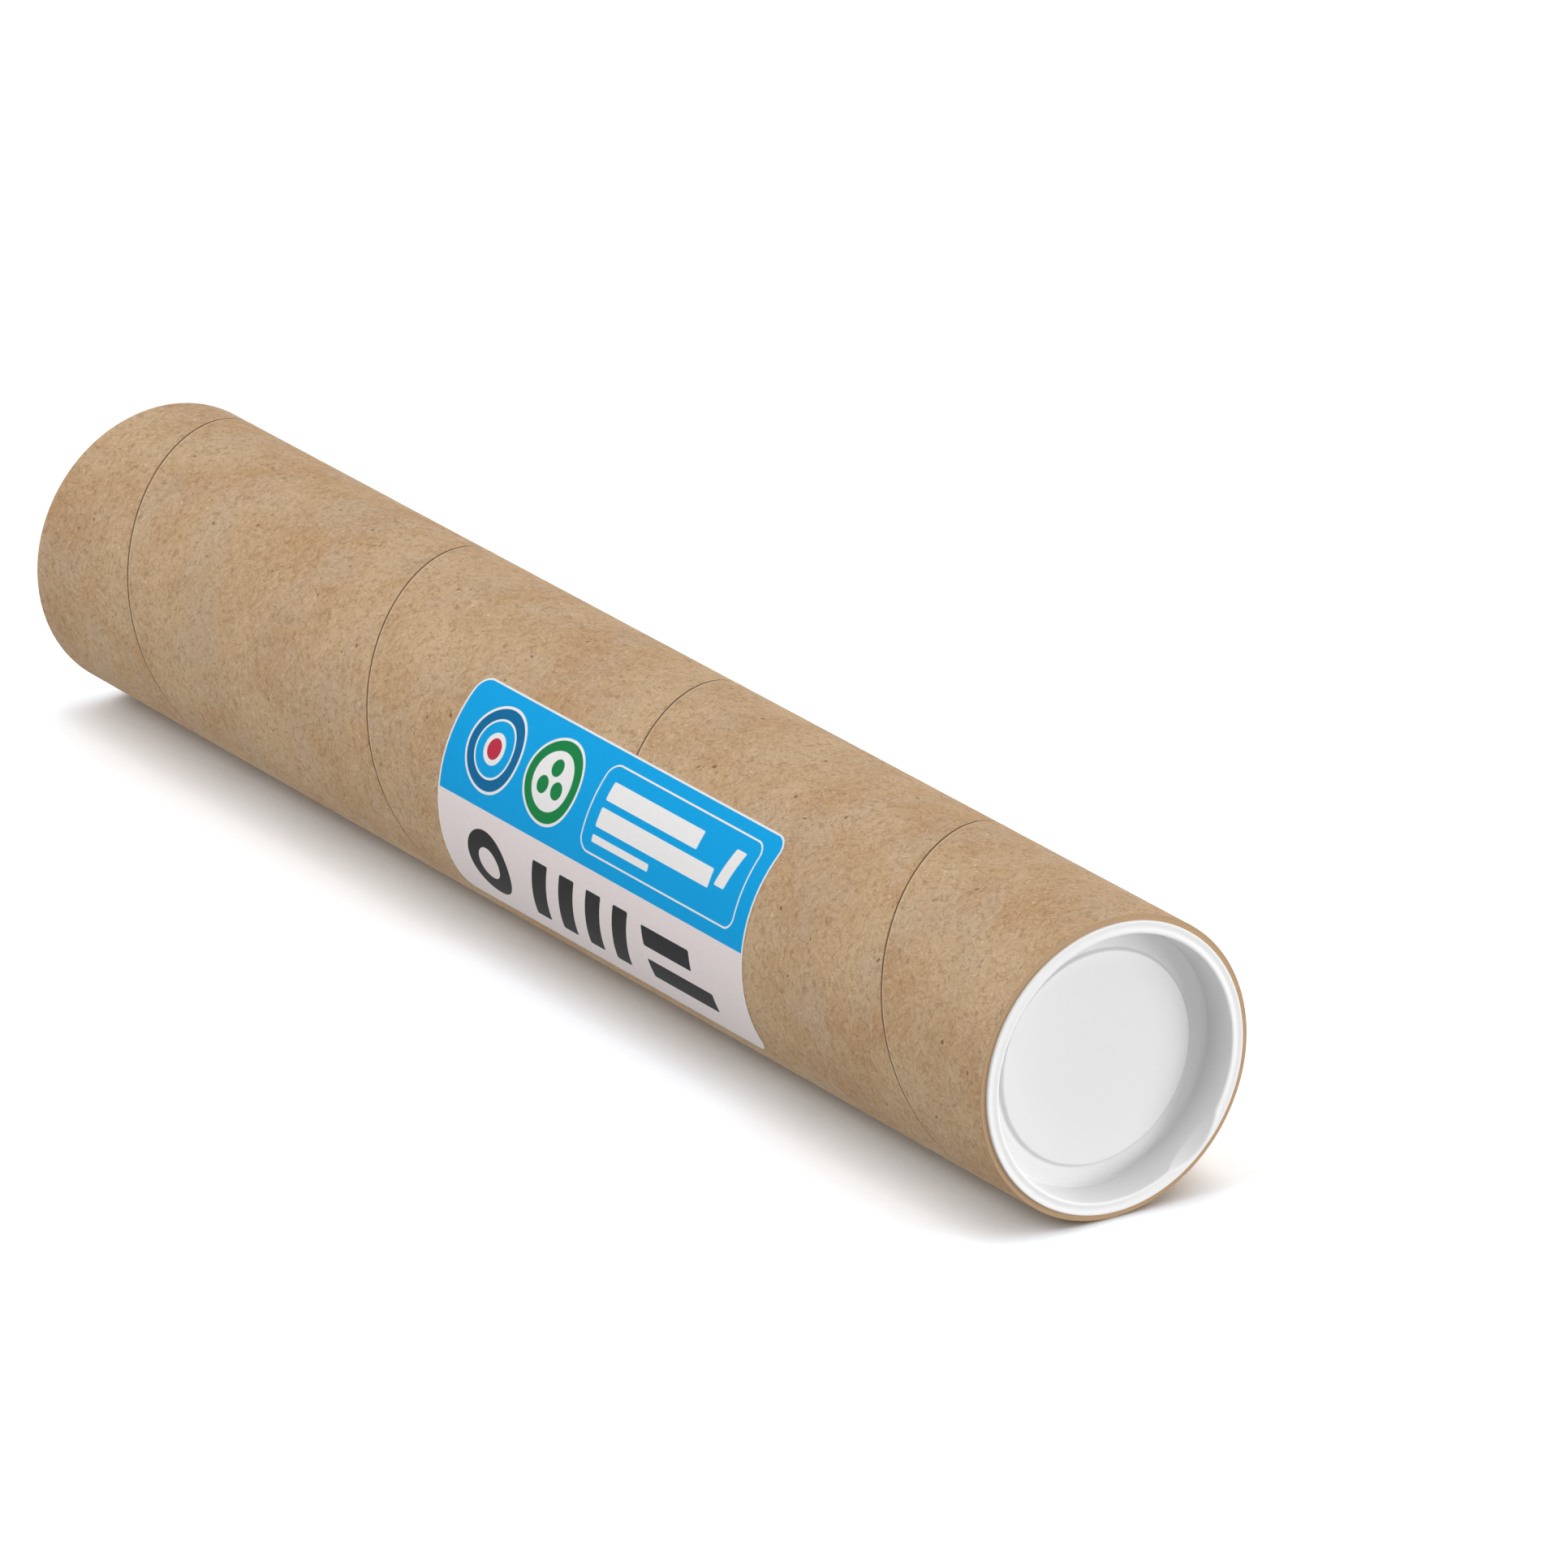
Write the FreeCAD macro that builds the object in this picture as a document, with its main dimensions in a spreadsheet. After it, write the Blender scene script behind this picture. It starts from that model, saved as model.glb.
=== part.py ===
import FreeCAD, Part
import math
import os
import re
import Sketcher

from FreeCAD import Placement, Rotation, Vector

# A spiral-wound cardboard mailing tube that stands on its end, with a moulded plug in each end
# and a paper label on its front. Millimetres. The origin is the centre of the lower plug's lip,
# +Z runs up the tube's axis and the label faces -Y.

SIZES = {
    # the wound tube
    "tube_length": 452.0,
    "bore_radius": 38.1,
    "wall_thickness": 2.0,
    # the butt seam of the outer ply: its rise in one turn, its section and where it starts
    "seam_lead": 120.3,
    "seam_width": 0.5,
    "seam_depth": 0.15,
    "seam_overrun": 1.0,
    "seam_start_angle": 125.5,
    # the end plug: the lip that stops on the tube's end and the band that grips the bore
    "lip_overlap": 0.35,
    "lip_thickness": 0.75,
    "lip_chamfer": 0.3,
    "plug_clearance": 0.05,
    "band_length": 6.0,
    "plug_depth": 12.0,
    "plug_taper": 2.2,
    # the recess in the plug: rim, drafted wall, channel and raised disc
    "rim_width": 3.35,
    "rim_chamfer": 0.4,
    "recess_depth": 9.4,
    "recess_draft": 1.0,
    "channel_chamfer": 0.5,
    "disc_radius": 28.2,
    "disc_rise": 0.8,
    "disc_draft": 0.5,
    "disc_chamfer": 0.35,
    "web_thickness": 1.5,
    "skirt_wall": 1.3,
    # the thumb notch, a slanting scoop in the rim's inner edge
    "notch_scoop_radius": 15.0,
    "notch_reach": 1.5,
    "notch_depth": 3.3,
    "notch_overrun": 2.0,
    "top_notch_angle": 49.5,
    "bottom_notch_angle": 130.0,
    # the paper label, a sheet glued round the tube
    "label_length": 143.0,
    "label_width": 63.0,
    "label_thickness": 0.12,
    "label_glue_gap": 0.05,
    "label_corner": 5.0,
    "label_below_top": 106.5,
}

# What follows from the sizes above. The notch's scoop is a cylinder, tilted outwards going up,
# whose outermost line runs from the recess wall at the notch's depth to the notch's reach in
# the rim's face.
DERIVED = {
    "tube_radius": "=bore_radius + wall_thickness",
    "total_height": "=tube_length + 2 * lip_thickness",
    "lip_radius": "=bore_radius + lip_overlap",
    "band_radius": "=bore_radius - plug_clearance",
    "rim_radius": "=lip_radius - rim_width",
    "channel_radius": "=rim_radius - recess_draft",
    "plug_end_radius": "=band_radius - plug_taper",
    "disc_depth": "=recess_depth - disc_rise",
    "disc_foot_radius": "=disc_radius + disc_draft",
    "notch_wall_radius": "=rim_radius - recess_draft * notch_depth / recess_depth",
    "notch_rim_radius": "=rim_radius + notch_reach",
    "notch_tilt": "=atan((notch_rim_radius - notch_wall_radius) / notch_depth) / 1 deg",
    "label_radius": "=tube_radius + label_glue_gap",
}


def make_sheet(doc):
    sheet = doc.addObject("Spreadsheet::Sheet", "Sizes")
    for row, (name, value) in enumerate({**SIZES, **DERIVED}.items(), start=1):
        sheet.set("A%d" % row, name)
        sheet.set("B%d" % row, str(value))
        sheet.setAlias("B%d" % row, name)
    doc.recompute()
    return sheet


def origin_plane(body, role):
    return next(f for f in body.Origin.OriginFeatures if f.Role == role)


def new_body(doc, label):
    body = doc.addObject("PartDesign::Body", label)
    body.Label = label
    return body


def new_sketch(body, name, role):
    sketch = body.newObject("Sketcher::SketchObject", name)
    sketch.AttachmentSupport = [(origin_plane(body, role), "")]
    sketch.MapMode = "FlatFace"
    return sketch


def bind(feature, **formulas):
    """Binds properties of a feature to formulas of the sheet."""
    for name, formula in formulas.items():
        feature.setExpression(name.replace("__", "."), formula)


def bind_dimension(sketch, constraint, name, formula):
    index = sketch.addConstraint(constraint)
    sketch.renameConstraint(index, name)
    sketch.setExpression("Constraints." + name, formula)


def draw_section(sheet, sketch, corners):
    """Draws a closed section of corners (name, radius, depth).

    The radius is measured from the sketch's vertical axis and the depth down from its
    horizontal one, each a formula of the sheet, or None for a corner on that axis.
    """
    points = []
    for _, radius, depth in corners:
        across = sheet.evalExpression(radius) if radius else 0
        down = sheet.evalExpression(depth) if depth else 0
        points.append(Vector(float(across), -float(down), 0))
    count = len(points)
    for i in range(count):
        sketch.addGeometry(Part.LineSegment(points[i], points[(i + 1) % count]), False)
    for i in range(count):
        sketch.addConstraint(Sketcher.Constraint("Coincident", i, 2, (i + 1) % count, 1))
    for i, (name, radius, depth) in enumerate(corners):
        if radius:
            across = Sketcher.Constraint("DistanceX", -1, 1, i, 1, points[i].x)
            bind_dimension(sketch, across, name + "_radius", bound(radius))
        else:
            sketch.addConstraint(Sketcher.Constraint("PointOnObject", i, 1, -2))
        if depth:
            down = Sketcher.Constraint("DistanceY", i, 1, -1, 1, -points[i].y)
            bind_dimension(sketch, down, name + "_depth", bound(depth))
        else:
            sketch.addConstraint(Sketcher.Constraint("PointOnObject", i, 1, -1))


def bound(formula):
    """Turns a formula of bare aliases, which all hold a low line, into one outside the sheet."""
    return re.sub(r"\b([a-z]+(?:_[a-z]+)+)\b", r"Sizes.\1", formula)


def circle_edges(feature, radius, height):
    """Names of a feature's whole circles of a radius at a height."""
    names = []
    for i, edge in enumerate(feature.Shape.Edges, start=1):
        if not isinstance(edge.Curve, Part.Circle):
            continue
        same_radius = abs(edge.Curve.Radius - radius) < 0.01
        if same_radius and abs(edge.Curve.Center.z - height) < 0.01:
            names.append("Edge%d" % i)
    return names


def chamfer_edges(body, base, name, edges, formula):
    chamfer = body.newObject("PartDesign::Chamfer", name)
    chamfer.Base = (base, edges)
    bind(chamfer, Size=bound(formula))
    body.Document.recompute()
    return chamfer


def make_kraft_tube(doc, sheet):
    """The wound wall, cut square at both ends, with the outer ply's butt seam round it."""
    body = new_body(doc, "kraft_tube")
    ring = new_sketch(body, "WallRing", "XY_Plane")
    for index, alias in enumerate(("tube_radius", "bore_radius")):
        ring.addGeometry(Part.Circle(Vector(), Vector(0, 0, 1), sheet.get(alias)), False)
        ring.addConstraint(Sketcher.Constraint("Coincident", index, 3, -1, 1))
        size = Sketcher.Constraint("Radius", index, sheet.get(alias))
        bind_dimension(ring, size, alias, bound(alias))
    wall = body.newObject("PartDesign::Pad", "WoundWall")
    wall.Profile = ring
    bind(wall, Length=bound("tube_length"))
    doc.recompute()

    groove = new_sketch(body, "SeamSection", "XZ_Plane")
    draw_section(sheet, groove, [
        ("root", "tube_radius - seam_depth", "seam_overrun"),
        ("lower", "tube_radius + seam_depth", "seam_overrun + seam_width"),
        ("upper", "tube_radius + seam_depth", "seam_overrun - seam_width"),
    ])
    seam = body.newObject("PartDesign::SubtractiveHelix", "PlySeam")
    seam.Profile = groove
    seam.ReferenceAxis = (groove, ["V_Axis"])
    seam.Mode = "pitch-height-angle"
    bind(seam, Pitch=bound("seam_lead"), Height=bound("tube_length + 2 * seam_overrun"))
    doc.recompute()

    turn = "seam_start_angle - 360 * seam_overrun / seam_lead"
    body.Placement = Placement(Vector(0, 0, 1), Rotation(Vector(0, 0, 1), 1))
    bind(body, Placement__Base__z=bound("lip_thickness"), Placement__Rotation__Angle=bound(turn))
    return body


def make_end_cap(doc, sheet, label):
    """A plug with its lip's face at its own z = 0 and its thumb notch towards its own +X.

    Its round edges are cut flat, as an edge this small needs no more.
    """
    body = new_body(doc, label)
    section = new_sketch(body, "PlugSection", "XZ_Plane")
    draw_section(sheet, section, [
        ("disc_centre", None, "disc_depth"),
        ("disc_edge", "disc_radius", "disc_depth"),
        ("disc_foot", "disc_foot_radius", "recess_depth"),
        ("channel", "channel_radius", "recess_depth"),
        ("rim", "rim_radius", None),
        ("lip_top", "lip_radius", None),
        ("lip_under", "lip_radius", "lip_thickness"),
        ("band_top", "band_radius", "lip_thickness"),
        ("band_end", "band_radius", "lip_thickness + band_length"),
        ("plug_end", "plug_end_radius", "plug_depth"),
        ("skirt_inside", "plug_end_radius - skirt_wall", "plug_depth"),
        ("skirt_root", "plug_end_radius - skirt_wall", "recess_depth + web_thickness"),
        ("web_centre", None, "recess_depth + web_thickness"),
    ])
    plug = body.newObject("PartDesign::Revolution", "Plug")
    plug.Profile = section
    plug.ReferenceAxis = (section, ["V_Axis"])
    plug.Angle = 360
    doc.recompute()

    softened = [
        ("LipEdge", "lip_radius", 0, "lip_chamfer"),
        ("RimEdge", "rim_radius", 0, "rim_chamfer"),
        ("DiscEdge", "disc_radius", sheet.get("disc_depth"), "disc_chamfer"),
        ("ChannelCorner", "channel_radius", sheet.get("recess_depth"), "channel_chamfer"),
    ]
    last = plug
    for name, alias, depth, size in softened:
        edges = circle_edges(last, sheet.get(alias), -depth)
        last = chamfer_edges(body, last, name, edges, size)
    cut_thumb_notch(body)
    return body


def cut_thumb_notch(body):
    """Scoops the rim's inner edge with a tilted cylinder that stops clear of the channel."""
    scoop = body.newObject("PartDesign::SubtractiveCylinder", "ThumbNotch")
    scoop.AttachmentSupport = [(origin_plane(body, "XY_Plane"), "")]
    scoop.MapMode = "FlatFace"
    scoop.AttachmentOffset = Placement(Vector(1, 0, 1), Rotation(Vector(0, 1, 0), 1))
    tilt = "notch_tilt * 1 deg"
    foot = "(notch_depth / cos(%s) + notch_overrun)" % tilt
    bind(
        scoop,
        Radius=bound("notch_scoop_radius"),
        Height=bound("%s + notch_overrun" % foot),
        AttachmentOffset__Rotation__Angle=bound("notch_tilt"),
        AttachmentOffset__Base__x=bound(
            "notch_rim_radius - notch_scoop_radius * cos(%s) - %s * sin(%s)" % (tilt, foot, tilt)),
        AttachmentOffset__Base__z=bound(
            "notch_scoop_radius * sin(%s) - %s * cos(%s)" % (tilt, foot, tilt)),
    )
    body.Document.recompute()


def place_caps(top, bottom):
    """The top plug looks up, and the bottom one is the same plug turned over."""
    top.Placement = Placement(Vector(0, 0, 1), Rotation(Vector(0, 0, 1), 1))
    bind(
        top,
        Placement__Base__z=bound("total_height"),
        Placement__Rotation__Angle=bound("top_notch_angle"),
    )
    # half a turn about a level axis at half the notch's angle takes +X to that angle
    bottom.Placement = Placement(Vector(), Rotation(Vector(1, 1, 0), 180))
    bind(
        bottom,
        Placement__Rotation__Axis__x=bound("cos(bottom_notch_angle * 0.5 deg)"),
        Placement__Rotation__Axis__y=bound("sin(bottom_notch_angle * 0.5 deg)"),
    )


def make_paper_label(doc, sheet):
    """A rectangle of paper with round corners, wrapped about the tube's front.

    No sketch lies on a cylinder, so the outline is drawn on the tube's surface unrolled, where
    u is the angle and v the height, and the face is thickened outwards.
    """
    radius = sheet.get("label_radius")
    face = wrapped_rectangle(
        radius, sheet.get("label_length"), sheet.get("label_width"), sheet.get("label_corner"))
    label = doc.addObject("Part::Feature", "paper_label")
    label.Label = "paper_label"
    label.Shape = face.makeOffsetShape(sheet.get("label_thickness"), 0.0001, fill=True)
    top = sheet.get("lip_thickness") + sheet.get("tube_length") - sheet.get("label_below_top")
    label.Placement = Placement(Vector(0, 0, top - sheet.get("label_length")), Rotation())
    return label


def wrapped_rectangle(radius, length, width, corner):
    """A face on a cylinder about Z, centred on -Y, with its foot at z = 0."""
    surface = Part.Cylinder()
    surface.Radius = radius
    front = 1.5 * math.pi
    across = (width / 2 - corner) / radius
    turn = corner / radius
    flat = FreeCAD.Base.Vector2d
    centres = [
        (front + across, length - corner),
        (front + across, corner),
        (front - across, corner),
        (front - across, length - corner),
    ]
    edges = []
    for i, (u, v) in enumerate(centres):
        after_u, after_v = centres[(i + 1) % 4]
        # a round corner is an ellipse here, because u is an angle; it starts at its top
        ellipse = Part.Geom2d.Ellipse2d(flat(u, v + corner), flat(u + turn, v), flat(u, v))
        arc = Part.Geom2d.ArcOfEllipse2d(ellipse, i * math.pi / 2, (i + 1) * math.pi / 2)
        reach_u = (turn, 0, -turn, 0)[i]
        reach_v = (0, -corner, 0, corner)[i]
        side = Part.Geom2d.Line2dSegment(
            flat(u + reach_u, v + reach_v), flat(after_u + reach_u, after_v + reach_v))
        edges.append(arc.toShape(surface))
        edges.append(side.toShape(surface))
    face = Part.Face(surface, Part.Wire(edges))
    face.validate()
    return face


def check(doc, bodies):
    for thing in doc.Objects:
        if "Invalid" in thing.State or "Error" in thing.State:
            raise RuntimeError("%s failed: %s" % (thing.Label, thing.State))
    for body in bodies:
        if body.Shape.isNull() or not body.Shape.isValid() or len(body.Shape.Solids) != 1:
            raise RuntimeError("%s is not one sound solid" % body.Label)


def write(bodies):
    os.makedirs("parts", exist_ok=True)
    for body in bodies:
        body.Shape.exportStep("parts/%s.step" % body.Label)
        box = body.Shape.BoundBox
        low = (box.XMin, box.YMin, box.ZMin)
        high = (box.XMax, box.YMax, box.ZMax)
        print(body.Label, "volume %.1f" % body.Shape.Volume, "from", low, "to", high)


def main():
    doc = FreeCAD.newDocument("mailing_tube")
    sheet = make_sheet(doc)
    tube = make_kraft_tube(doc, sheet)
    top = make_end_cap(doc, sheet, "top_end_cap")
    bottom = make_end_cap(doc, sheet, "bottom_end_cap")
    place_caps(top, bottom)
    label = make_paper_label(doc, sheet)
    doc.recompute()
    bodies = [tube, top, bottom, label]
    check(doc, bodies)
    write(bodies)


main()
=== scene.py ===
import bpy
import bmesh
import math
from mathutils import Matrix, Vector


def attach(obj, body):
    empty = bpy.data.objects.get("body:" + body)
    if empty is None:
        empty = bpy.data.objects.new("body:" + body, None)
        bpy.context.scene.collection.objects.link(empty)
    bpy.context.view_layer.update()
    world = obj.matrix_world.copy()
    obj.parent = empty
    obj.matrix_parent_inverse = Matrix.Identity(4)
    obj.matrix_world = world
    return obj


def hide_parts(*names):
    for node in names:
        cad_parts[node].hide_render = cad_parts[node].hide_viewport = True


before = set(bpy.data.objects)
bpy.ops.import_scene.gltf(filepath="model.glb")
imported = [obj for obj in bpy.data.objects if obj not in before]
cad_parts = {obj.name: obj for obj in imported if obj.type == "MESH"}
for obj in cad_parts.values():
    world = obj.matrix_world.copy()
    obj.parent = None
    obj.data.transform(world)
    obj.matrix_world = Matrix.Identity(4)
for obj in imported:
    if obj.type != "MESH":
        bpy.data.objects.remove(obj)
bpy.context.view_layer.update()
mm = 0.001


def colour(hexText):  # sRGB hex to the linear colour that a socket takes
    channels = [int(hexText[i:i + 2], 16) / 255 for i in (0, 2, 4)]
    linear = [c / 12.92 if c <= 0.04045 else ((c + 0.055) / 1.055) ** 2.4 for c in channels]
    return (*linear, 1)


def addNode(tree, kind, settings=None, links=None):
    node = tree.nodes.new(kind)
    for name, value in (settings or {}).items():
        setattr(node, name, value)
    for key, value in (links or {}).items():
        if isinstance(value, bpy.types.NodeSocket):
            tree.links.new(value, node.inputs[key])
        else:
            node.inputs[key].default_value = value
    return node


def newMaterial(name):
    material = bpy.data.materials.new(name)
    material.use_nodes = True
    tree = material.node_tree
    tree.nodes.clear()
    return material, tree


def newObject(name, mesh):
    piece = bpy.data.objects.new(name, mesh)
    bpy.context.scene.collection.objects.link(piece)
    return piece


# the wound tube, in millimetres
woundTube = {
    "outerRadius": 40.1, "boreRadius": 38.1,
    "lowEnd": 0.75, "highEnd": 452.75,
    "lead": 120.3,           # rise of the outer ply in one turn
    "seamHeight": -41.19,    # height of the outer seam at +X
    "linerSeamHeight": 18.0,
    "seamGap": 0.3,          # half the width of the butt joint's groove
    "seamDepth": 0.2,
    "edgeLift": 0.05,        # the ply's edge stands a little proud above its seam
    "liftStart": 0.3, "liftEnd": 2.4,    # and lies flat again this far from it
    "edgeRound": 0.2,
    "columns": 360, "rowsPerTurn": 24,
}
stripSlope = math.atan(woundTube["lead"] / (2 * math.pi * woundTube["outerRadius"]))
stripWidth = woundTube["lead"] * math.cos(stripSlope)

kraftLook = {
    "light": "D1B28D", "dark": "C6A17A", "grey": "CBB094",
    "fibreLight": "E2CBAC", "fibreDark": "94724E",
    "speck": "6B4A30", "fleck": "E6D3B8", "seam": "6E4A28",
    "cloudSize": 30.0,
    "fibreLength": 2.2, "fibreWidth": 0.3,   # the matted fibres, in millimetres
    "curl": 2.0, "curlWidth": 0.045,         # the loose dark ones: size of a bend, and width
}


def makeKraftPaper():
    # Natural kraft linerboard, unbleached pine pulp pressed smooth: matt, with curly fibres
    # that catch the light, warm and grey clouds where the pulp lay thicker, and bark specks.
    material, tree = newMaterial("kraftLinerboard")
    plyMap = addNode(tree, "ShaderNodeUVMap", {"uv_map": "plyMap"})
    inMillimetres = addNode(tree, "ShaderNodeVectorMath", {"operation": "SCALE"},
                            {0: plyMap.outputs[0], "Scale": 1000.0})
    place = inMillimetres.outputs[0]

    # clouds in the pulp
    cloud = addNode(tree, "ShaderNodeTexNoise", {"noise_dimensions": "2D"}, {
        "Vector": place, "Scale": 1 / kraftLook["cloudSize"], "Detail": 4.0, "Roughness": 0.6})
    tone = addNode(tree, "ShaderNodeValToRGB", None, {"Fac": cloud.outputs["Fac"]})
    tone.color_ramp.elements[0].position = 0.36
    tone.color_ramp.elements[0].color = colour(kraftLook["dark"])
    tone.color_ramp.elements[1].position = 0.64
    tone.color_ramp.elements[1].color = colour(kraftLook["light"])
    greyCloud = addNode(tree, "ShaderNodeTexNoise", {"noise_dimensions": "3D"}, {
        "Vector": place, "Scale": 1.4 / kraftLook["cloudSize"], "Detail": 3.0})
    greyPart = addNode(tree, "ShaderNodeMapRange", {"interpolation_type": "SMOOTHSTEP"}, {
        "Value": greyCloud.outputs["Fac"], "From Min": 0.45, "From Max": 0.68,
        "To Min": 0.0, "To Max": 0.7})
    pulp = addNode(tree, "ShaderNodeMix", {"data_type": "RGBA"}, {
        "Factor": greyPart.outputs[0], "A": tone.outputs["Color"],
        "B": colour(kraftLook["grey"])})

    # two lays of fibres: cells a fibre long, each with its own direction, and in each cell
    # a noise drawn out along that direction; a warp makes the fibres curl
    warp = addNode(tree, "ShaderNodeTexNoise", {"noise_dimensions": "2D"}, {
        "Vector": place, "Scale": 0.35, "Detail": 1.0})
    pull = addNode(tree, "ShaderNodeVectorMath", {"operation": "MULTIPLY_ADD"}, {
        0: warp.outputs["Color"], 1: (2.6, 2.6, 0.0), 2: place})
    lays = []
    for seed, size in ((0.0, 1.0), (37.0, 1.4)):
        shifted = addNode(tree, "ShaderNodeVectorMath", {"operation": "ADD"}, {
            0: pull.outputs[0], 1: (seed, seed * 1.7, 0.0)})
        cell = addNode(tree, "ShaderNodeTexVoronoi", {"voronoi_dimensions": "2D"}, {
            "Vector": shifted.outputs[0], "Scale": 1 / (kraftLook["fibreLength"] * size)})
        split = addNode(tree, "ShaderNodeSeparateColor", None, {"Color": cell.outputs["Color"]})
        heading = addNode(tree, "ShaderNodeMath", {"operation": "MULTIPLY"}, {
            0: split.outputs[0], 1: math.pi})
        turned = addNode(tree, "ShaderNodeVectorRotate", {"rotation_type": "Z_AXIS"}, {
            "Vector": shifted.outputs[0], "Angle": heading.outputs[0]})
        drawn = addNode(tree, "ShaderNodeVectorMath", {"operation": "MULTIPLY"}, {
            0: turned.outputs[0],
            1: (0.5 / (kraftLook["fibreLength"] * size), 0.5 / (kraftLook["fibreWidth"] * size),
                0.0)})
        strand = addNode(tree, "ShaderNodeTexNoise", {"noise_dimensions": "2D"}, {
            "Vector": drawn.outputs[0], "Scale": 1.0, "Detail": 1.0, "Roughness": 0.4})
        lays.append(strand.outputs["Fac"])
    both = addNode(tree, "ShaderNodeMath", {"operation": "ADD"}, {0: lays[0], 1: lays[1]})
    lightFibre = addNode(tree, "ShaderNodeMapRange", {"interpolation_type": "SMOOTHSTEP"}, {
        "Value": both.outputs[0], "From Min": 1.0, "From Max": 1.35, "To Max": 0.36})
    darkFibre = addNode(tree, "ShaderNodeMapRange", {"interpolation_type": "SMOOTHSTEP"}, {
        "Value": both.outputs[0], "From Min": 1.0, "From Max": 0.65, "To Max": 0.22})
    lit = addNode(tree, "ShaderNodeMix", {"data_type": "RGBA"}, {
        "Factor": lightFibre.outputs[0], "A": pulp.outputs["Result"],
        "B": colour(kraftLook["fibreLight"])})
    fibrous = addNode(tree, "ShaderNodeMix", {"data_type": "RGBA"}, {
        "Factor": darkFibre.outputs[0], "A": lit.outputs["Result"],
        "B": colour(kraftLook["fibreDark"])})

    # loose dark fibres: level lines of a noise, which curl as pulp does, shown in patches
    surface = fibrous.outputs["Result"]
    for seed, size, strength in ((11.0, 1.0, 0.36), (53.0, 1.6, 0.3)):
        shifted = addNode(tree, "ShaderNodeVectorMath", {"operation": "ADD"}, {
            0: place, 1: (seed, -seed, 0.0)})
        field = addNode(tree, "ShaderNodeTexNoise", {"noise_dimensions": "2D"}, {
            "Vector": shifted.outputs[0], "Scale": 1 / (kraftLook["curl"] * size),
            "Detail": 1.0, "Roughness": 0.6})
        fromLevel = addNode(tree, "ShaderNodeMath", {"operation": "COMPARE"}, {
            0: field.outputs["Fac"], 1: 0.5, 2: kraftLook["curlWidth"] / size})
        patch = addNode(tree, "ShaderNodeTexNoise", {"noise_dimensions": "2D"}, {
            "Vector": shifted.outputs[0], "Scale": 0.9 / (kraftLook["curl"] * size),
            "Detail": 0.0})
        shown = addNode(tree, "ShaderNodeMapRange", {"interpolation_type": "SMOOTHSTEP"}, {
            "Value": patch.outputs["Fac"], "From Min": 0.5, "From Max": 0.6,
            "To Max": strength})
        thread = addNode(tree, "ShaderNodeMath", {"operation": "MULTIPLY"}, {
            0: fromLevel.outputs[0], 1: shown.outputs[0]})
        curled = addNode(tree, "ShaderNodeMix", {"data_type": "RGBA"}, {
            "Factor": thread.outputs[0], "A": surface, "B": colour(kraftLook["fibreDark"])})
        surface = curled.outputs["Result"]

    # bark specks and pale flecks, about half a millimetre, in one cell of a few
    for name, spacing, reach, share, strength in (
            ("speck", 9.0, 0.42, 0.22, 0.7), ("fleck", 8.0, 0.4, 0.3, 0.6)):
        moved = addNode(tree, "ShaderNodeVectorMath", {"operation": "MULTIPLY_ADD"}, {
            0: warp.outputs["Color"], 1: (1.2, 1.2, 0.0), 2: place})
        spot = addNode(tree, "ShaderNodeTexVoronoi", {"voronoi_dimensions": "2D"}, {
            "Vector": moved.outputs[0], "Scale": 1 / spacing})
        chance = addNode(tree, "ShaderNodeSeparateColor", None, {
            "Color": spot.outputs["Color"]})
        chosen = addNode(tree, "ShaderNodeMath", {"operation": "LESS_THAN"}, {
            0: chance.outputs[0 if name == "speck" else 1], 1: share})
        size = addNode(tree, "ShaderNodeMath", {"operation": "MULTIPLY_ADD"}, {
            0: chance.outputs[2], 1: reach / spacing, 2: 0.3 * reach / spacing})
        inside = addNode(tree, "ShaderNodeMath", {"operation": "LESS_THAN"}, {
            0: spot.outputs["Distance"], 1: size.outputs[0]})
        mark = addNode(tree, "ShaderNodeMath", {"operation": "MULTIPLY"}, {
            0: inside.outputs[0], 1: chosen.outputs[0]})
        faint = addNode(tree, "ShaderNodeMath", {"operation": "MULTIPLY"}, {
            0: mark.outputs[0], 1: strength})
        mixed = addNode(tree, "ShaderNodeMix", {"data_type": "RGBA"}, {
            "Factor": faint.outputs[0], "A": surface, "B": colour(kraftLook[name])})
        surface = mixed.outputs["Result"]

    # the seam: dark in the joint, for dirt and partly painted shade of the groove, and a paler
    # line along the ply's edge above it
    parts = addNode(tree, "ShaderNodeSeparateXYZ", None, {"Vector": place})
    fromFar = addNode(tree, "ShaderNodeMath", {"operation": "SUBTRACT"}, {
        0: stripWidth, 1: parts.outputs["Y"]})
    fromSeam = addNode(tree, "ShaderNodeMath", {"operation": "MINIMUM"}, {
        0: parts.outputs["Y"], 1: fromFar.outputs[0]})
    # painted shade: the joint's dark colour stands partly for the groove's shadow, partly for
    # dirt
    jointDirtAndShade = addNode(tree, "ShaderNodeMapRange", {"interpolation_type": "SMOOTHSTEP"}, {
        "Value": fromSeam.outputs[0], "From Min": 0.42, "From Max": 0.2,
        "To Min": 0.0, "To Max": 0.85})
    paleEdgeLine = addNode(tree, "ShaderNodeMapRange", {"interpolation_type": "SMOOTHSTEP"}, {
        "Value": parts.outputs["Y"], "From Min": 1.1, "From Max": 0.5,
        "To Min": 0.0, "To Max": 0.4})
    paleLined = addNode(tree, "ShaderNodeMix", {"data_type": "RGBA"}, {
        "Factor": paleEdgeLine.outputs[0], "A": surface, "B": colour(kraftLook["fleck"])})
    withJointDirtAndShade = addNode(tree, "ShaderNodeMix", {"data_type": "RGBA"}, {
        "Factor": jointDirtAndShade.outputs[0], "A": paleLined.outputs["Result"],
        "B": colour(kraftLook["seam"])})

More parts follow.
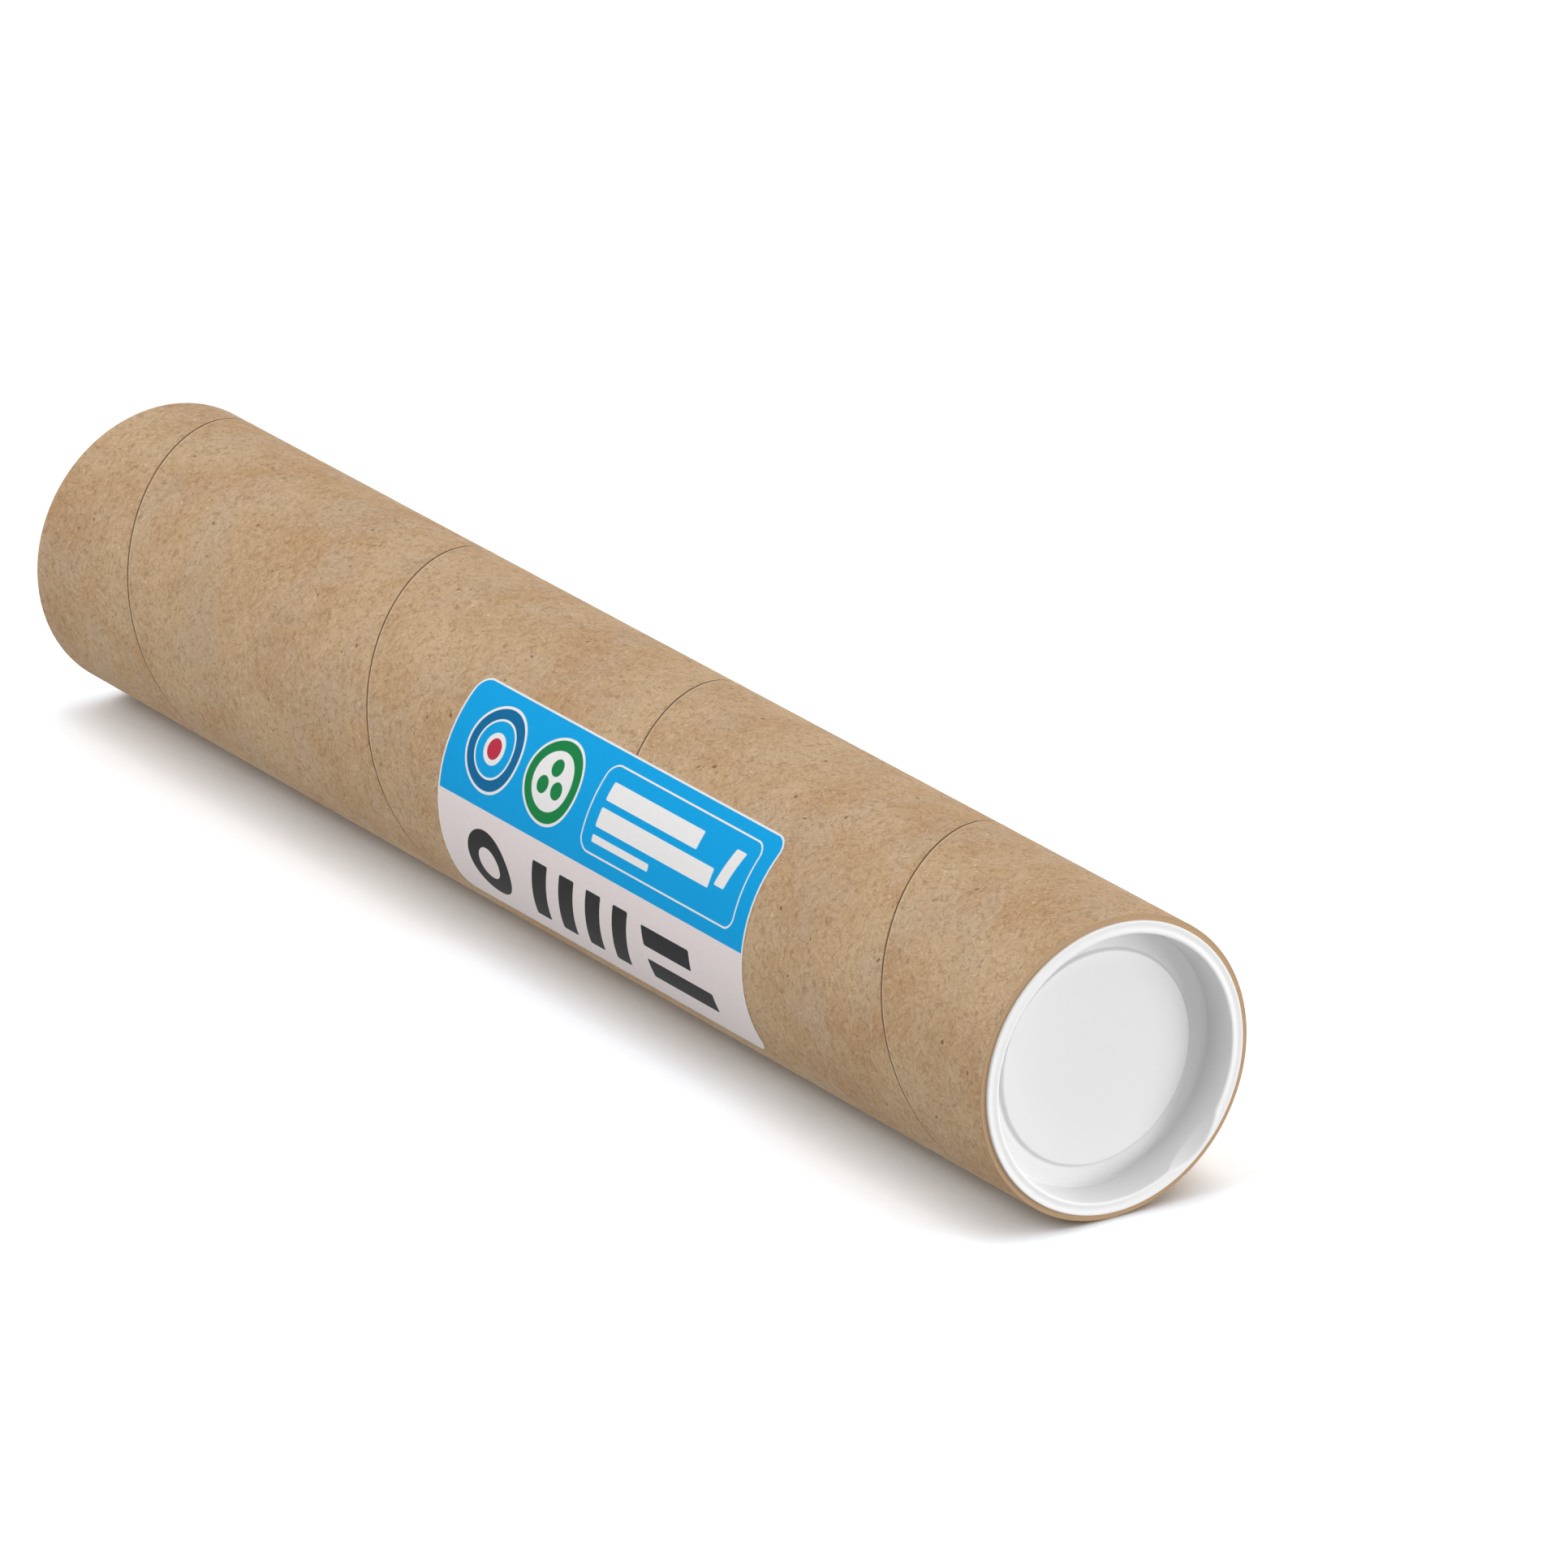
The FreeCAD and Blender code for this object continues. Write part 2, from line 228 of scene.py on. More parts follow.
    # relief: the fibres and the felt's fine mark
    felt = addNode(tree, "ShaderNodeTexNoise", {"noise_dimensions": "2D"}, {
        "Vector": place, "Scale": 1.6, "Detail": 2.0})
    relief = addNode(tree, "ShaderNodeMath", {"operation": "MULTIPLY_ADD"}, {
        0: felt.outputs["Fac"], 1: 0.5, 2: both.outputs[0]})
    bump = addNode(tree, "ShaderNodeBump", None, {
        "Height": relief.outputs[0], "Strength": 0.35, "Distance": 0.00006})
    shader = addNode(tree, "ShaderNodeBsdfPrincipled", None, {
        "Base Color": withJointDirtAndShade.outputs["Result"], "Roughness": 0.85, "IOR": 1.45,
        "Specular IOR Level": 0.3, "Normal": bump.outputs[0]})
    addNode(tree, "ShaderNodeOutputMaterial", None, {"Surface": shader.outputs[0]})
    return material


cutLook = {"paper": "C6A682", "glue": "8F7353", "plies": 5}


def makeCutBoard():
    # The sawn end of glued chipboard plies: near the face's own tone but rougher, with thin
    # dark glue lines between the plies.
    material, tree = newMaterial("cutBoard")
    where = addNode(tree, "ShaderNodeTexCoord")
    parts = addNode(tree, "ShaderNodeSeparateXYZ", None, {"Vector": where.outputs["Object"]})
    flat = addNode(tree, "ShaderNodeCombineXYZ", None, {
        "X": parts.outputs["X"], "Y": parts.outputs["Y"]})
    fromAxis = addNode(tree, "ShaderNodeVectorMath", {"operation": "LENGTH"}, {
        0: flat.outputs[0]})
    wobble = addNode(tree, "ShaderNodeTexNoise", {"noise_dimensions": "3D"}, {
        "Vector": where.outputs["Object"], "Scale": 300.0, "Detail": 2.0})
    wavy = addNode(tree, "ShaderNodeMath", {"operation": "MULTIPLY_ADD"}, {
        0: wobble.outputs["Fac"], 1: 0.00022, 2: fromAxis.outputs["Value"]})
    ply = (woundTube["outerRadius"] - woundTube["boreRadius"]) / cutLook["plies"]
    turns = addNode(tree, "ShaderNodeMath", {"operation": "MULTIPLY"}, {
        0: wavy.outputs[0], 1: 1000 / ply})
    within = addNode(tree, "ShaderNodeMath", {"operation": "PINGPONG"}, {
        0: turns.outputs[0], 1: 0.5})
    line = addNode(tree, "ShaderNodeMapRange", {"interpolation_type": "SMOOTHSTEP"}, {
        "Value": within.outputs[0], "From Min": 0.16, "From Max": 0.04, "To Max": 0.6})
    fuzz = addNode(tree, "ShaderNodeTexNoise", {"noise_dimensions": "3D"}, {
        "Vector": where.outputs["Object"], "Scale": 2200.0, "Detail": 3.0})
    shade = addNode(tree, "ShaderNodeMath", {"operation": "MULTIPLY_ADD"}, {
        0: fuzz.outputs["Fac"], 1: 0.5, 2: line.outputs[0]})
    amount = addNode(tree, "ShaderNodeMath", {"operation": "SUBTRACT", "use_clamp": True}, {
        0: shade.outputs[0], 1: 0.18})
    board = addNode(tree, "ShaderNodeMix", {"data_type": "RGBA"}, {
        "Factor": amount.outputs[0], "A": colour(cutLook["paper"]),
        "B": colour(cutLook["glue"])})
    bump = addNode(tree, "ShaderNodeBump", None, {
        "Height": fuzz.outputs["Fac"], "Strength": 0.5, "Distance": 0.0001})
    shader = addNode(tree, "ShaderNodeBsdfPrincipled", None, {
        "Base Color": board.outputs["Result"], "Roughness": 0.92, "IOR": 1.45,
        "Normal": bump.outputs[0]})
    addNode(tree, "ShaderNodeOutputMaterial", None, {"Surface": shader.outputs[0]})
    return material


plugLook = {
    # tone by the radius in millimetres: the disc, its step (a darker line of painted shade),
    # the thin channel, the wall, the rim; greyer down in the recess, partly painted shade
    "toneAndShade": [(27.7, "EBEBEB"), (28.4, "DADADA"), (29.3, "E2E2E2"), (33.6, "E2E2E2"),
              (34.2, "F0F0F0"), (35.3, "F8F8F8")],
}


def makeMouldedPolythene():
    # White low-density polythene, injection moulded in a lightly textured tool: soft satin
    # gloss, whitest where it is thick at the rim and a little grey in the thin web and channel
    # down in the recess, partly where the dark of the tube shows through and partly painted
    # shade, with a line of painted shade at the disc's foot.
    material, tree = newMaterial("mouldedPolythene")
    where = addNode(tree, "ShaderNodeTexCoord")
    grain = addNode(tree, "ShaderNodeTexNoise", {"noise_dimensions": "3D"}, {
        "Vector": where.outputs["Object"], "Scale": 1300.0, "Detail": 2.0})
    flow = addNode(tree, "ShaderNodeTexNoise", {"noise_dimensions": "3D"}, {
        "Vector": where.outputs["Object"], "Scale": 60.0, "Detail": 3.0})
    parts = addNode(tree, "ShaderNodeSeparateXYZ", None, {"Vector": where.outputs["Object"]})
    flat = addNode(tree, "ShaderNodeCombineXYZ", None, {
        "X": parts.outputs["X"], "Y": parts.outputs["Y"]})
    fromAxis = addNode(tree, "ShaderNodeVectorMath", {"operation": "LENGTH"}, {
        0: flat.outputs[0]})
    nearest, furthest = plugLook["toneAndShade"][0][0], plugLook["toneAndShade"][-1][0]
    outwards = addNode(tree, "ShaderNodeMapRange", None, {
        "Value": fromAxis.outputs["Value"], "From Min": nearest * mm,
        "From Max": furthest * mm})
    # painted shade: this ramp greys the recess and darkens the disc's foot
    tone = addNode(tree, "ShaderNodeValToRGB", None, {"Fac": outwards.outputs[0]})
    stops = tone.color_ramp.elements
    for i, (radius, hexText) in enumerate(plugLook["toneAndShade"]):
        place = (radius - nearest) / (furthest - nearest)
        stop = stops[0] if i == 0 else stops.new(place) if place < 1 else stops[-1]
        stop.color = colour(hexText)
    gloss = addNode(tree, "ShaderNodeMapRange", None, {
        "Value": flow.outputs["Fac"], "To Min": 0.4, "To Max": 0.52})
    bump = addNode(tree, "ShaderNodeBump", None, {
        "Height": grain.outputs["Fac"], "Strength": 0.12, "Distance": 0.00004})
    shader = addNode(tree, "ShaderNodeBsdfPrincipled", None, {
        "Base Color": tone.outputs["Color"], "Roughness": gloss.outputs[0], "IOR": 1.51,
        "Subsurface Weight": 0.15, "Subsurface Radius": (1.0, 0.9, 0.8),
        "Subsurface Scale": 0.0015, "Normal": bump.outputs[0]})
    addNode(tree, "ShaderNodeOutputMaterial", None, {"Surface": shader.outputs[0]})
    return material


# the sticker, in millimetres; its print is laid out on a page whose x runs up the tube
# and whose y runs round it, from the pale edge to the blue one
sticker = {
    "radius": 40.15, "thickness": 0.12, "length": 143.0, "width": 63.0, "corner": 5.0,
    "foot": 203.25, "margin": 0.6, "columns": 90, "rows": 150, "cornerRows": 14,
}
printColours = {
    "paper": "FCFBFB", "blue": "06ACF2", "pale": "FAEFEF", "ink": "2D2D2F",
    "deepBlue": "0B6FA6", "green": "17894A", "red": "C9364B",
}


def shapeMask(tree, page, centre, halfSize, corner=0.0, slant=0.0, soft=0.07):
    # a box with round corners on the page, 1 inside and 0 outside; a disc is one whose
    # corners are as large as the box
    corner = max(corner, 0.2)
    moved = addNode(tree, "ShaderNodeVectorMath", {"operation": "SUBTRACT"}, {
        0: page, 1: (*centre, 0.0)})
    local = moved.outputs[0]
    if slant:
        parts = addNode(tree, "ShaderNodeSeparateXYZ", None, {"Vector": local})
        leaned = addNode(tree, "ShaderNodeMath", {"operation": "MULTIPLY_ADD"}, {
            0: parts.outputs["Y"], 1: -slant, 2: parts.outputs["X"]})
        back = addNode(tree, "ShaderNodeCombineXYZ", None, {
            "X": leaned.outputs[0], "Y": parts.outputs["Y"]})
        local = back.outputs[0]
    sides = addNode(tree, "ShaderNodeVectorMath", {"operation": "ABSOLUTE"}, {0: local})
    beyond = addNode(tree, "ShaderNodeVectorMath", {"operation": "SUBTRACT"}, {
        0: sides.outputs[0], 1: (halfSize[0] - corner, halfSize[1] - corner, 0.0)})
    outside = addNode(tree, "ShaderNodeVectorMath", {"operation": "MAXIMUM"}, {
        0: beyond.outputs[0], 1: (0.0, 0.0, 0.0)})
    away = addNode(tree, "ShaderNodeVectorMath", {"operation": "LENGTH"}, {
        0: outside.outputs[0]})
    mask = addNode(tree, "ShaderNodeMapRange", None, {
        "Value": away.outputs["Value"], "From Min": corner + soft, "From Max": corner - soft})
    return mask.outputs[0]


def makePrintedLabel():
    # Coated label paper, offset printed: flat inks under a thin even gloss, a white margin
    # where the ink stops, and the faint roughness of the board showing through.
    material, tree = newMaterial("printedLabel")
    stickerMap = addNode(tree, "ShaderNodeUVMap", {"uv_map": "stickerMap"})
    onPage = addNode(tree, "ShaderNodeVectorMath", {"operation": "SCALE"}, {
        0: stickerMap.outputs[0], "Scale": 1000.0})
    page = onPage.outputs[0]
    length, width, margin = sticker["length"], sticker["width"], sticker["margin"]

    # what is printed on the pale ground, from the bottom ink up: its ink and its shapes
    inks = [
        ("blue", [((length / 2, 47.4), (length / 2 + 2, 16.6), 0.0, 0.0)]),
        ("paper", [((20.0, 46.8), (12.0, 12.0), 12.0, 0.0),
                   ((47.5, 46.8), (12.0, 12.0), 12.0, 0.0),
                   ((101.5, 46.8), (35.5, 12.2), 4.0, 0.0)]),
        ("deepBlue", [((20.0, 46.8), (11.2, 11.2), 11.2, 0.0)]),
        ("green", [((47.5, 46.8), (11.2, 11.2), 11.2, 0.0)]),
        ("blue", [((101.5, 46.8), (35.0, 11.7), 3.5, 0.0)]),
        ("paper", [((20.0, 46.8), (8.2, 8.2), 8.2, 0.0),
                   ((47.5, 46.8), (8.2, 8.2), 8.2, 0.0),
                   ((92.0, 51.8), (21.0, 2.6), 0.5, 0.0),
                   ((97.0, 44.6), (26.0, 2.6), 0.5, 0.0),
                   ((84.0, 38.9), (13.0, 1.0), 0.4, 0.0),
                   ((128.5, 49.0), (2.2, 5.4), 0.5, 0.25)]),
        ("blue", [((20.0, 46.8), (7.6, 7.6), 7.6, 0.0)]),
        ("green", [((47.5, 50.4), (2.4, 2.4), 2.4, 0.0), ((44.3, 44.9), (2.4, 2.4), 2.4, 0.0),
                   ((50.7, 44.9), (2.4, 2.4), 2.4, 0.0)]),
        ("paper", [((20.0, 46.8), (4.4, 4.4), 4.4, 0.0)]),
        ("red", [((20.0, 46.8), (2.9, 2.9), 2.9, 0.0)]),
        ("ink", [((22.0, 15.6), (9.6, 9.6), 9.6, 0.0)]
            + [((46.0 + 12.6 * i, 15.6), (3.4, 9.2), 0.6, 0.3) for i in range(4)]
            + [((107.0, 20.6), (11.0, 3.0), 0.6, 0.0), ((111.0, 10.6), (15.0, 3.0), 0.6, 0.0)]),
        ("pale", [((22.0, 15.6), (4.6, 4.6), 4.6, 0.0)]),
    ]
    printed = colour(printColours["pale"])
    for ink, shapes in inks:
        cover = None
        for centre, halfSize, corner, slant in shapes:
            mask = shapeMask(tree, page, centre, halfSize, corner, slant)
            if cover is None:
                cover = mask
            else:
                cover = addNode(tree, "ShaderNodeMath", {"operation": "MAXIMUM"}, {
                    0: cover, 1: mask}).outputs[0]
        laid = addNode(tree, "ShaderNodeMix", {"data_type": "RGBA"}, {
            "Factor": cover, "A": printed, "B": colour(printColours[ink])})
        printed = laid.outputs["Result"]
    inkArea = shapeMask(tree, page, (length / 2, width / 2),
                        (length / 2 - margin, width / 2 - margin), sticker["corner"] - margin)
    trimmed = addNode(tree, "ShaderNodeMix", {"data_type": "RGBA"}, {
        "Factor": inkArea, "A": colour(printColours["paper"]), "B": printed})

    mottle = addNode(tree, "ShaderNodeTexNoise", {"noise_dimensions": "2D"}, {
        "Vector": page, "Scale": 0.9, "Detail": 3.0})
    softened = addNode(tree, "ShaderNodeMapRange", None, {
        "Value": mottle.outputs["Fac"], "To Min": 0.97, "To Max": 1.03})
    sheet = addNode(tree, "ShaderNodeVectorMath", {"operation": "SCALE"}, {
        0: trimmed.outputs["Result"], "Scale": softened.outputs[0]})
    bump = addNode(tree, "ShaderNodeBump", None, {
        "Height": mottle.outputs["Fac"], "Strength": 0.2, "Distance": 0.00004})
    shader = addNode(tree, "ShaderNodeBsdfPrincipled", None, {
        "Base Color": sheet.outputs[0], "Roughness": 0.6, "IOR": 1.45,
        "Specular IOR Level": 0.12, "Normal": bump.outputs[0]})
    addNode(tree, "ShaderNodeOutputMaterial", None, {"Surface": shader.outputs[0]})
    return material


kraftPaper = makeKraftPaper()
cutBoard = makeCutBoard()
polythene = makeMouldedPolythene()
labelPrint = makePrintedLabel()
print("finishes made")


def seamRelief(tree, size, angle, height, seamHeight):
    # how far the surface stands in or out at an angle and a height, from its way to the seam
    turnRise = addNode(tree, "ShaderNodeMath", {"operation": "MULTIPLY"}, {
        0: angle, 1: woundTube["lead"] * mm / (2 * math.pi)})
    above = addNode(tree, "ShaderNodeMath", {"operation": "SUBTRACT"}, {
        0: height, 1: turnRise.outputs[0]})
    measured = addNode(tree, "ShaderNodeMath", {"operation": "SUBTRACT"}, {
        0: above.outputs[0], 1: seamHeight * mm})
    centred = addNode(tree, "ShaderNodeMath", {"operation": "WRAP"}, {
        0: measured.outputs[0], 1: woundTube["lead"] * mm / 2, 2: -woundTube["lead"] * mm / 2})
    way = addNode(tree, "ShaderNodeMath", {"operation": "ABSOLUTE"}, {0: centred.outputs[0]})
    groove = addNode(tree, "ShaderNodeMapRange", {"interpolation_type": "SMOOTHSTEP"}, {
        "Value": way.outputs[0], "From Min": 0.0, "From Max": size["Seam gap"],
        "To Min": 1.0, "To Max": 0.0})
    sunk = addNode(tree, "ShaderNodeMath", {"operation": "MULTIPLY"}, {
        0: groove.outputs[0], 1: size["Seam depth"]})
    lift = addNode(tree, "ShaderNodeMapRange", {"interpolation_type": "SMOOTHSTEP"}, {
        "Value": centred.outputs[0], "From Min": woundTube["liftEnd"] * mm,
        "From Max": woundTube["liftStart"] * mm,
        "To Min": 0.0, "To Max": woundTube["edgeLift"] * mm})
    onPly = addNode(tree, "ShaderNodeMath", {"operation": "GREATER_THAN"}, {
        0: centred.outputs[0], 1: 0.0})
    lifted = addNode(tree, "ShaderNodeMath", {"operation": "MULTIPLY"}, {
        0: lift.outputs[0], 1: onPly.outputs[0]})
    relief = addNode(tree, "ShaderNodeMath", {"operation": "SUBTRACT"}, {
        0: lifted.outputs[0], 1: sunk.outputs[0]})
    return relief.outputs[0]


def aroundAxis(tree, radius, angle, height):
    across = addNode(tree, "ShaderNodeMath", {"operation": "COSINE"}, {0: angle})
    along = addNode(tree, "ShaderNodeMath", {"operation": "SINE"}, {0: angle})
    x = addNode(tree, "ShaderNodeMath", {"operation": "MULTIPLY"}, {
        0: across.outputs[0], 1: radius})
    y = addNode(tree, "ShaderNodeMath", {"operation": "MULTIPLY"}, {
        0: along.outputs[0], 1: radius})
    point = addNode(tree, "ShaderNodeCombineXYZ", None, {
        "X": x.outputs[0], "Y": y.outputs[0], "Z": height})
    return point.outputs[0]


def windPly(tree, size, radius, seamHeight, outward, finish):
    # One wall of the tube as a sheet whose rows run along the seam. The sheet's x is the
    # angle and its y counts turns of the strip, with a seam at each whole number.
    lead = woundTube["lead"] * mm
    firstTurn = math.floor((woundTube["lowEnd"] - seamHeight) / woundTube["lead"] - 1)
    lastTurn = math.ceil((woundTube["highEnd"] - seamHeight) / woundTube["lead"])
    turns = lastTurn - firstTurn
    sheet = addNode(tree, "GeometryNodeMeshGrid", None, {
        "Size X": 2 * math.pi, "Size Y": float(turns),
        "Vertices X": woundTube["columns"] + 1,
        "Vertices Y": turns * woundTube["rowsPerTurn"] + 1})
    spot = addNode(tree, "GeometryNodeInputPosition")
    parts = addNode(tree, "ShaderNodeSeparateXYZ", None, {"Vector": spot.outputs[0]})
    angle = addNode(tree, "ShaderNodeMath", {"operation": "ADD"}, {
        0: parts.outputs["X"], 1: math.pi})
    turn = addNode(tree, "ShaderNodeMath", {"operation": "ADD"}, {
        0: parts.outputs["Y"], 1: (firstTurn + lastTurn) / 2})

    # rows crowd towards the seam: 2 % of an even spacing there, and a fifth power beyond
    nearest = addNode(tree, "ShaderNodeMath", {"operation": "ROUND"}, {0: turn.outputs[0]})
    aside = addNode(tree, "ShaderNodeMath", {"operation": "SUBTRACT"}, {
        0: turn.outputs[0], 1: nearest.outputs[0]})
    square = addNode(tree, "ShaderNodeMath", {"operation": "MULTIPLY"}, {
        0: aside.outputs[0], 1: aside.outputs[0]})
    fourth = addNode(tree, "ShaderNodeMath", {"operation": "MULTIPLY"}, {
        0: square.outputs[0], 1: square.outputs[0]})
    spread = addNode(tree, "ShaderNodeMath", {"operation": "MULTIPLY_ADD"}, {
        0: fourth.outputs[0], 1: 0.98 * 16, 2: 0.02})
    crowded = addNode(tree, "ShaderNodeMath", {"operation": "MULTIPLY"}, {
        0: aside.outputs[0], 1: spread.outputs[0]})
    placed = addNode(tree, "ShaderNodeMath", {"operation": "ADD"}, {
        0: crowded.outputs[0], 1: nearest.outputs[0]})

    rise = addNode(tree, "ShaderNodeMath", {"operation": "DIVIDE"}, {
        0: angle.outputs[0], 1: 2 * math.pi})
    total = addNode(tree, "ShaderNodeMath", {"operation": "ADD"}, {
        0: placed.outputs[0], 1: rise.outputs[0]})
    free = addNode(tree, "ShaderNodeMath", {"operation": "MULTIPLY_ADD"}, {
        0: total.outputs[0], 1: lead, 2: seamHeight * mm})
    low = (woundTube["lowEnd"] + woundTube["edgeRound"]) * mm
    high = (woundTube["highEnd"] - woundTube["edgeRound"]) * mm
    height = addNode(tree, "ShaderNodeClamp", None, {
        "Value": free.outputs[0], "Min": low, "Max": high})
    relief = seamRelief(tree, size, angle.outputs[0], height.outputs[0], seamHeight)
    reach = addNode(tree, "ShaderNodeMath", {"operation": "MULTIPLY_ADD"}, {
        0: relief, 1: outward, 2: radius})
    point = aroundAxis(tree, reach.outputs[0], angle.outputs[0], height.outputs[0])

    # the strip's own map: along and across it in metres, kept by each face's turn
    ownTurn = addNode(tree, "GeometryNodeFieldOnDomain", {"domain": "FACE"}, {
        0: turn.outputs[0]})
    counted = addNode(tree, "ShaderNodeMath", {"operation": "FLOOR"}, {
        0: ownTurn.outputs[0]})
    unwound = addNode(tree, "ShaderNodeMath", {"operation": "MULTIPLY_ADD"}, {
        0: counted.outputs[0], 1: 2 * math.pi, 2: angle.outputs[0]})
    girth = addNode(tree, "ShaderNodeMath", {"operation": "MULTIPLY"}, {
        0: unwound.outputs[0], 1: lead / (2 * math.pi * math.tan(stripSlope))})
    aboveStart = addNode(tree, "ShaderNodeMath", {"operation": "SUBTRACT"}, {
        0: height.outputs[0], 1: seamHeight * mm})
    flat = addNode(tree, "ShaderNodeCombineXYZ", None, {
        "X": girth.outputs[0], "Y": aboveStart.outputs[0]})
    strip = addNode(tree, "ShaderNodeVectorRotate", {"rotation_type": "Z_AXIS"}, {
        "Vector": flat.outputs[0], "Angle": -stripSlope})
    mapped = addNode(tree, "GeometryNodeStoreNamedAttribute", {
        "data_type": "FLOAT2", "domain": "CORNER"}, {
        "Geometry": sheet.outputs["Mesh"], "Name": "plyMap", "Value": strip.outputs[0]})
    wall = addNode(tree, "GeometryNodeSetPosition", None, {
        "Geometry": mapped.outputs[0], "Position": point})
    shaped = wall.outputs[0]
    if outward < 0:
        shaped = addNode(tree, "GeometryNodeFlipFaces", None, {"Mesh": shaped}).outputs[0]
    dressed = addNode(tree, "GeometryNodeSetMaterial", None, {
        "Geometry": shaped, "Material": finish})
    return dressed.outputs[0]


def cutEnd(tree, size, endHeight, up, finish):
    # a sawn ring at one end, its two edges rounded over into the walls
    sheet = addNode(tree, "GeometryNodeMeshGrid", None, {
        "Size X": 2 * math.pi, "Size Y": 1.0,
        "Vertices X": woundTube["columns"] + 1, "Vertices Y": 21})
    spot = addNode(tree, "GeometryNodeInputPosition")
    parts = addNode(tree, "ShaderNodeSeparateXYZ", None, {"Vector": spot.outputs[0]})
    angle = addNode(tree, "ShaderNodeMath", {"operation": "ADD"}, {
        0: parts.outputs["X"], 1: math.pi})
    share = addNode(tree, "ShaderNodeMath", {"operation": "ADD"}, {
        0: parts.outputs["Y"], 1: 0.5})
    edge = woundTube["edgeRound"] * mm
    wallEnd = endHeight * mm - up * edge
    bounds = []
    for radius, seamHeight, outward in ((size["Bore radius"], woundTube["linerSeamHeight"], -1),
                                        (size["Outer radius"], woundTube["seamHeight"], 1)):
        relief = seamRelief(tree, size, angle.outputs[0], wallEnd, seamHeight)
        reach = addNode(tree, "ShaderNodeMath", {"operation": "MULTIPLY_ADD"}, {
            0: relief, 1: outward, 2: radius})
        bounds.append(reach.outputs[0])
    inner, outer = bounds
    width = addNode(tree, "ShaderNodeMath", {"operation": "SUBTRACT"}, {0: outer, 1: inner})
    radius = addNode(tree, "ShaderNodeMath", {"operation": "MULTIPLY_ADD"}, {
        0: width.outputs[0], 1: share.outputs[0], 2: inner})
    fromInner = addNode(tree, "ShaderNodeMath", {"operation": "SUBTRACT"}, {
        0: radius.outputs[0], 1: inner})
    fromOuter = addNode(tree, "ShaderNodeMath", {"operation": "SUBTRACT"}, {
        0: outer, 1: radius.outputs[0]})
    nearEdge = addNode(tree, "ShaderNodeMath", {"operation": "MINIMUM"}, {
        0: fromInner.outputs[0], 1: fromOuter.outputs[0]})
    left = addNode(tree, "ShaderNodeMath", {"operation": "SUBTRACT"}, {
        0: edge, 1: nearEdge.outputs[0]})
    inRound = addNode(tree, "ShaderNodeMath", {"operation": "MAXIMUM"}, {
        0: left.outputs[0], 1: 0.0})
    chord = addNode(tree, "ShaderNodeMath", {"operation": "MULTIPLY"}, {
        0: inRound.outputs[0], 1: inRound.outputs[0]})
    under = addNode(tree, "ShaderNodeMath", {"operation": "SUBTRACT"}, {
        0: edge * edge, 1: chord.outputs[0]})
    arc = addNode(tree, "ShaderNodeMath", {"operation": "SQRT"}, {0: under.outputs[0]})
    height = addNode(tree, "ShaderNodeMath", {"operation": "MULTIPLY_ADD"}, {
        0: arc.outputs[0], 1: float(up), 2: wallEnd})
    point = aroundAxis(tree, radius.outputs[0], angle.outputs[0], height.outputs[0])
    ring = addNode(tree, "GeometryNodeSetPosition", None, {
        "Geometry": sheet.outputs["Mesh"], "Position": point})
    shaped = ring.outputs[0]
    if up > 0:
        shaped = addNode(tree, "GeometryNodeFlipFaces", None, {"Mesh": shaped}).outputs[0]
    dressed = addNode(tree, "GeometryNodeSetMaterial", None, {
        "Geometry": shaped, "Material": finish})
    return dressed.outputs[0]


def makeWoundTube():
    tree = bpy.data.node_groups.new("windTube", "GeometryNodeTree")
    sizes = {
        "Outer radius": woundTube["outerRadius"] * mm,
        "Bore radius": woundTube["boreRadius"] * mm,
        "Seam gap": woundTube["seamGap"] * mm,
        "Seam depth": woundTube["seamDepth"] * mm,
    }
    for name in sizes:
        tree.interface.new_socket(name, in_out="INPUT", socket_type="NodeSocketFloat")
    tree.interface.new_socket("Geometry", in_out="OUTPUT", socket_type="NodeSocketGeometry")
    given = addNode(tree, "NodeGroupInput")
    size = {name: given.outputs[name] for name in sizes}
    pieces = [
        windPly(tree, size, size["Outer radius"], woundTube["seamHeight"], 1, kraftPaper),
        windPly(tree, size, size["Bore radius"], woundTube["linerSeamHeight"], -1, kraftPaper),
        cutEnd(tree, size, woundTube["lowEnd"], -1, cutBoard),
        cutEnd(tree, size, woundTube["highEnd"], 1, cutBoard),
    ]
    joined = addNode(tree, "GeometryNodeJoinGeometry")
    for piece in pieces:
        tree.links.new(piece, joined.inputs[0])
    real = addNode(tree, "GeometryNodeRealizeInstances", None, {0: joined.outputs[0]})
    merged = addNode(tree, "GeometryNodeMergeByDistance", None, {
        "Geometry": real.outputs[0], "Distance": 0.00001})
    bend = addNode(tree, "GeometryNodeInputMeshEdgeAngle")
    gentle = addNode(tree, "FunctionNodeCompare", {
        "data_type": "FLOAT", "operation": "LESS_THAN"}, {
        0: bend.outputs["Unsigned Angle"], 1: math.radians(50)})
    smooth = addNode(tree, "GeometryNodeSetShadeSmooth", {"domain": "EDGE"}, {
        "Geometry": merged.outputs[0], "Shade Smooth": gentle.outputs[0]})
    addNode(tree, "NodeGroupOutput", None, {0: smooth.outputs[0]})

    piece = newObject("woundTube", bpy.data.meshes.new("woundTubeStart"))
    modifier = piece.modifiers.new("wind", "NODES")
    modifier.node_group = tree
    for item in tree.interface.items_tree:
        if item.in_out == "INPUT":
            modifier[item.identifier] = sizes[item.name]
    seen = piece.evaluated_get(bpy.context.evaluated_depsgraph_get())
    mesh = bpy.data.meshes.new_from_object(seen)
    mesh.name = "woundTube"
    mesh.materials.pop(index=0)  # the sheets' own empty slot
    piece.modifiers.remove(modifier)
    piece.data = mesh
    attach(piece, "tube")
    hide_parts("kraft_tube")
    return piece


tube = makeWoundTube()
print("wound tube:", len(tube.data.polygons), "faces")


